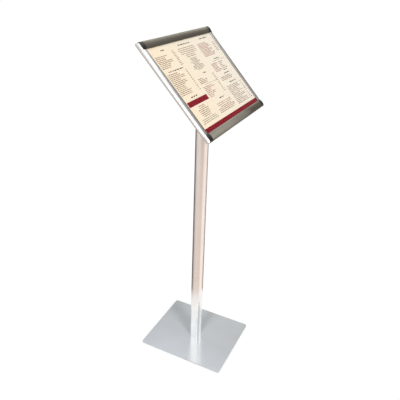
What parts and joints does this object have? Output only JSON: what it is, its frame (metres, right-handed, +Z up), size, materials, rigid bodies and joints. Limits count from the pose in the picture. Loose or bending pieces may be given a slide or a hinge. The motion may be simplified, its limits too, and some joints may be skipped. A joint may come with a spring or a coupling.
{
  "type": "sign stand",
  "caption": "Floor-standing sign stand: steel base plate, aluminium post and a tilting A3 landscape snap frame whose top and bottom rails flip open.",
  "frame": {"origin": "on the floor under the middle of the base plate, which is also the middle of the post", "axes": "+Z up, +X to the reader's right along the frame's top rail, +Y away from the reader"},
  "size_m": [0.459, 0.35, 1.2153],
  "materials": {
    "plate_coating": "satin silver powder coat on steel",
    "post_aluminium": "satin anodised extrusion",
    "rail_aluminium": "satin anodised extrusion with fine drawing lines",
    "side_aluminium": "satin anodised extrusion",
    "cap_plastic": "semi-gloss black moulding",
    "knob_plastic": "matt black moulding",
    "pad_rubber": "matt",
    "cast_mount": "sand-cast, matt",
    "bracket_steel": "satin grey powder coat",
    "hardware": "bright zinc",
    "spring_steel": "rolled strip",
    "panel_board": "matt white board",
    "poster_print": null,
    "clear_cover": "clear anti-glare sheet"
  },
  "bodies": {
    "stand": {"base_plate": "plate_coating", "foot_pad_front_left": "pad_rubber", "foot_pad_front_right": "pad_rubber", "foot_pad_rear_left": "pad_rubber", "foot_pad_rear_right": "pad_rubber", "base_screw_front_left": "hardware", "base_screw_front_right": "hardware", "base_screw_rear_left": "hardware", "base_screw_rear_right": "hardware", "post": "post_aluminium", "post_top_mount": "cast_mount", "plug_screw_left": "hardware", "plug_screw_right": "hardware", "friction_washer_left": "hardware", "friction_washer_right": "hardware"},
    "head": {"tilt_bracket": "bracket_steel", "pivot_bolt": "hardware", "bracket_screw_lower_left": "hardware", "bracket_screw_lower_right": "hardware", "bracket_screw_upper_left": "hardware", "bracket_screw_upper_right": "hardware", "bracket_nut_lower_left": "hardware", "bracket_nut_lower_right": "hardware", "bracket_nut_upper_left": "hardware", "bracket_nut_upper_right": "hardware", "back_panel": "panel_board", "poster_sheet": "poster_print", "clear_sheet": "clear_cover", "top_base_rail": "rail_aluminium", "bottom_base_rail": "rail_aluminium", "side_rail_left": "side_aluminium", "side_rail_right": "side_aluminium", "leaf_spring_top_left": "spring_steel", "leaf_spring_top_right": "spring_steel", "leaf_spring_bottom_left": "spring_steel", "leaf_spring_bottom_right": "spring_steel", "corner_cap_top_left": "cap_plastic", "corner_cap_top_right": "cap_plastic", "corner_cap_bottom_left": "cap_plastic", "corner_cap_bottom_right": "cap_plastic", "cap_screw_top_left": "hardware", "cap_screw_top_right": "hardware", "cap_screw_bottom_left": "hardware", "cap_screw_bottom_right": "hardware"},
    "top_flip": {"top_flip_rail": "rail_aluminium"},
    "bottom_flip": {"bottom_flip_rail": "rail_aluminium"},
    "knob": {"clamp_knob": "knob_plastic"}
  },
  "joints": [
    {"name": "head_tilt", "type": "hinge", "parent": "stand", "child": "head", "pos_m": [0, 0, 1.0745], "axis": [1, 0, 0], "range_deg": [-46, 40]},
    {"name": "top_rail_open", "type": "hinge", "parent": "head", "child": "top_flip", "pos_m": [0, 0.10083, 1.21357], "axis": [-1, 0, 0], "range_deg": [0, 95]},
    {"name": "bottom_rail_open", "type": "hinge", "parent": "head", "child": "bottom_flip", "pos_m": [0, -0.13246, 0.96514], "axis": [1, 0, 0], "range_deg": [0, 95]},
    {"name": "clamp_knob_turn", "type": "hinge", "parent": "head", "child": "knob", "pos_m": [0.03, 0, 1.0745], "axis": [1, 0, 0], "range_deg": [0, 180]}
  ]
}
